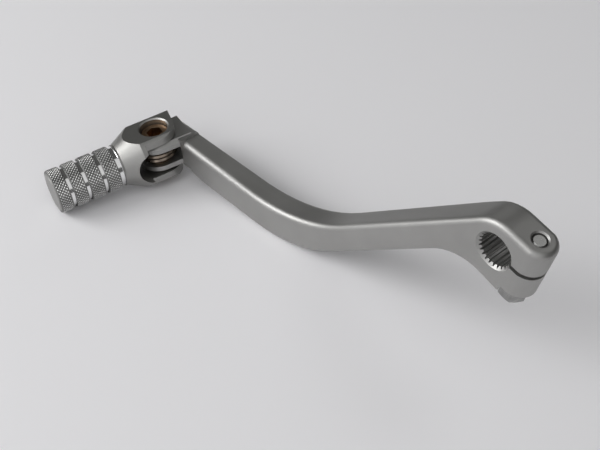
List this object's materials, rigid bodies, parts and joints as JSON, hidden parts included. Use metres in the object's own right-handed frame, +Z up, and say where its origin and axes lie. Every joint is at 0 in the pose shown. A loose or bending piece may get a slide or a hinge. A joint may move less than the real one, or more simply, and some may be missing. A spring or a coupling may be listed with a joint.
{
  "type": "motorcycle gear shift lever",
  "caption": "Motorcycle gear shift lever: a bent forged arm with a splined pinch clamp at one end and a sprung, folding, knurled toe tip at the other.",
  "frame": {"origin": "middle of the splined bore, on its axis", "axes": "+Y along the spline axis away from the engine, +X from the clamp towards the tip, +Z up as the lever lies on its belly and its tip"},
  "size_m": [0.1685, 0.0696, 0.062],
  "materials": {
    "forged_alloy": "bead-blasted satin silver",
    "bright_zinc": "bright zinc plate",
    "machined_tip": "machined and plated, knurled lands and polished grooves",
    "yellow_zinc": "yellow zinc plate",
    "spring_steel": "oiled spring wire"
  },
  "bodies": {
    "arm": {"shift_arm": "forged_alloy", "pinch_bolt": "bright_zinc", "return_spring": "spring_steel"},
    "tip": {"folding_tip": "machined_tip", "pivot_pin": "yellow_zinc"}
  },
  "joints": [
    {"name": "tip_fold", "type": "hinge", "parent": "arm", "child": "tip", "pos_m": [0.136, 0.0229, -0.0395], "axis": [0.1359, 0.0575, 0.989], "range_deg": [0, 60], "stiffness_Nm_per_rad": 0.4, "springref_deg": -14.32}
  ]
}
